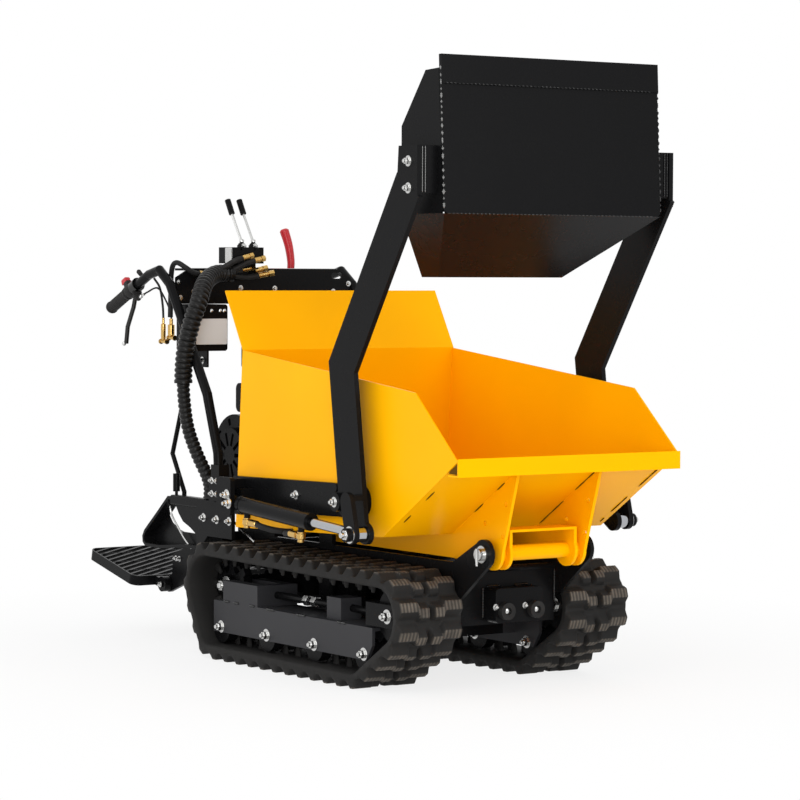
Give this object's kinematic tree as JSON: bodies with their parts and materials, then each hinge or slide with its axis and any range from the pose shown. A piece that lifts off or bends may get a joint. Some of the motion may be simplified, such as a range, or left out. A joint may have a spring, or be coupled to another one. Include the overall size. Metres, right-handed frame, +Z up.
{
  "type": "site_dumper",
  "caption": "Pedestrian site dumper on rubber tracks, with a yellow tipping skip and a black self-loading shovel held up on two arms",
  "frame": {"origin": "ground level under the middle of the overall box", "axes": "+X forward, towards the shovel; +Y to the machine's left; +Z up"},
  "size_m": [1.7941, 0.834, 1.4552],
  "materials": {
    "paint": "gloss",
    "frame_black": "satin",
    "rubber": "matte",
    "zinc": "satin",
    "chrome": "polished",
    "brass": "satin",
    "red": "gloss"
  },
  "bodies": {
    "chassis": {"frame_rails": "frame_black", "cross_members": "frame_black", "front_box": "frame_black", "front_buffers": "rubber", "hinge_pins": "zinc", "track_left": "rubber", "track_right": "rubber", "track_frames": "frame_black", "rollers": "frame_black", "sprockets": "frame_black", "idlers": "frame_black", "gearbox": "frame_black", "deck": "frame_black", "rear_guards": "frame_black", "engine_block": "frame_black", "fuel_tank": "frame_black", "recoil_cover": "frame_black", "muffler": "frame_black", "air_cleaner": "frame_black", "handlebars": "frame_black", "grips": "rubber", "brake_levers": "zinc", "console": "frame_black", "valve_block": "frame_black", "valve_levers": "zinc", "lever_knobs": "frame_black", "hose_fittings": "brass", "shift_lever": "red", "control_box": "frame_black", "conduit": "rubber"},
    "platform_body": {"platform": "frame_black"},
    "skip": {"skip_floor": "paint", "skip_side_left": "paint", "skip_side_right": "paint", "skip_rear": "paint", "skip_front": "paint", "skip_ribs": "paint", "loader_mounts": "frame_black"},
    "loader": {"arm_left": "frame_black", "arm_right": "frame_black", "shovel_shell": "frame_black", "shovel_cheek_left": "frame_black", "shovel_cheek_right": "frame_black"},
    "lift_cylinder_left": {"lift_barrel_left": "frame_black"},
    "lift_piston_left": {"lift_rod_left": "chrome"},
    "lift_cylinder_right": {"lift_barrel_right": "frame_black"},
    "lift_piston_right": {"lift_rod_right": "chrome"},
    "tip_cylinder": {"tip_barrel": "frame_black"},
    "tip_piston": {"tip_rod": "chrome"}
  },
  "joints": [
    {"name": "skip_tip", "type": "hinge", "parent": "chassis", "child": "skip", "pos_m": [0.756, 0, 0.327], "axis": [0, 1, 0], "range_deg": [0, 70]},
    {"name": "arm_lift", "type": "hinge", "parent": "skip", "child": "loader", "pos_m": [0.486, 0, 0.438], "axis": [0, -1, 0], "range_deg": [-96, 0]},
    {"name": "platform_fold", "type": "hinge", "parent": "chassis", "child": "platform_body", "pos_m": [-0.609, 0, 0.143], "axis": [0, 1, 0], "range_deg": [0, 75]},
    {"name": "lift_swing_left", "type": "hinge", "parent": "skip", "child": "lift_cylinder_left", "pos_m": [0.032, 0.377, 0.408], "axis": [0, -1, 0], "range_deg": [-7.5, 0.5]},
    {"name": "lift_stroke_left", "type": "slide", "parent": "lift_cylinder_left", "child": "lift_piston_left", "axis": [0.9978, 0, -0.0658], "range_m": [-0.185, 0.002]},
    {"name": "lift_swing_right", "type": "hinge", "parent": "skip", "child": "lift_cylinder_right", "pos_m": [0.032, -0.377, 0.408], "axis": [0, -1, 0], "range_deg": [-7.5, 0.5]},
    {"name": "lift_stroke_right", "type": "slide", "parent": "lift_cylinder_right", "child": "lift_piston_right", "axis": [0.9978, 0, -0.0658], "range_m": [-0.185, 0.002]},
    {"name": "tip_swing", "type": "hinge", "parent": "chassis", "child": "tip_cylinder", "pos_m": [0.022, 0, 0.215], "axis": [0, -1, 0], "range_deg": [-0.5, 18]},
    {"name": "tip_stroke", "type": "slide", "parent": "tip_cylinder", "child": "tip_piston", "axis": [0.9802, 0, 0.1981], "range_m": [-0.002, 0.24]}
  ],
  "couplings": [
    {"joint": "lift_swing_left", "follows": "arm_lift", "ratio": 0.069592},
    {"joint": "lift_stroke_left", "follows": "arm_lift", "m_per_rad": 0.10724},
    {"joint": "lift_swing_right", "follows": "arm_lift", "ratio": 0.069592},
    {"joint": "lift_stroke_right", "follows": "arm_lift", "m_per_rad": 0.10724},
    {"joint": "tip_swing", "follows": "skip_tip", "ratio": 0.24577},
    {"joint": "tip_stroke", "follows": "skip_tip", "m_per_rad": 0.18949}
  ]
}
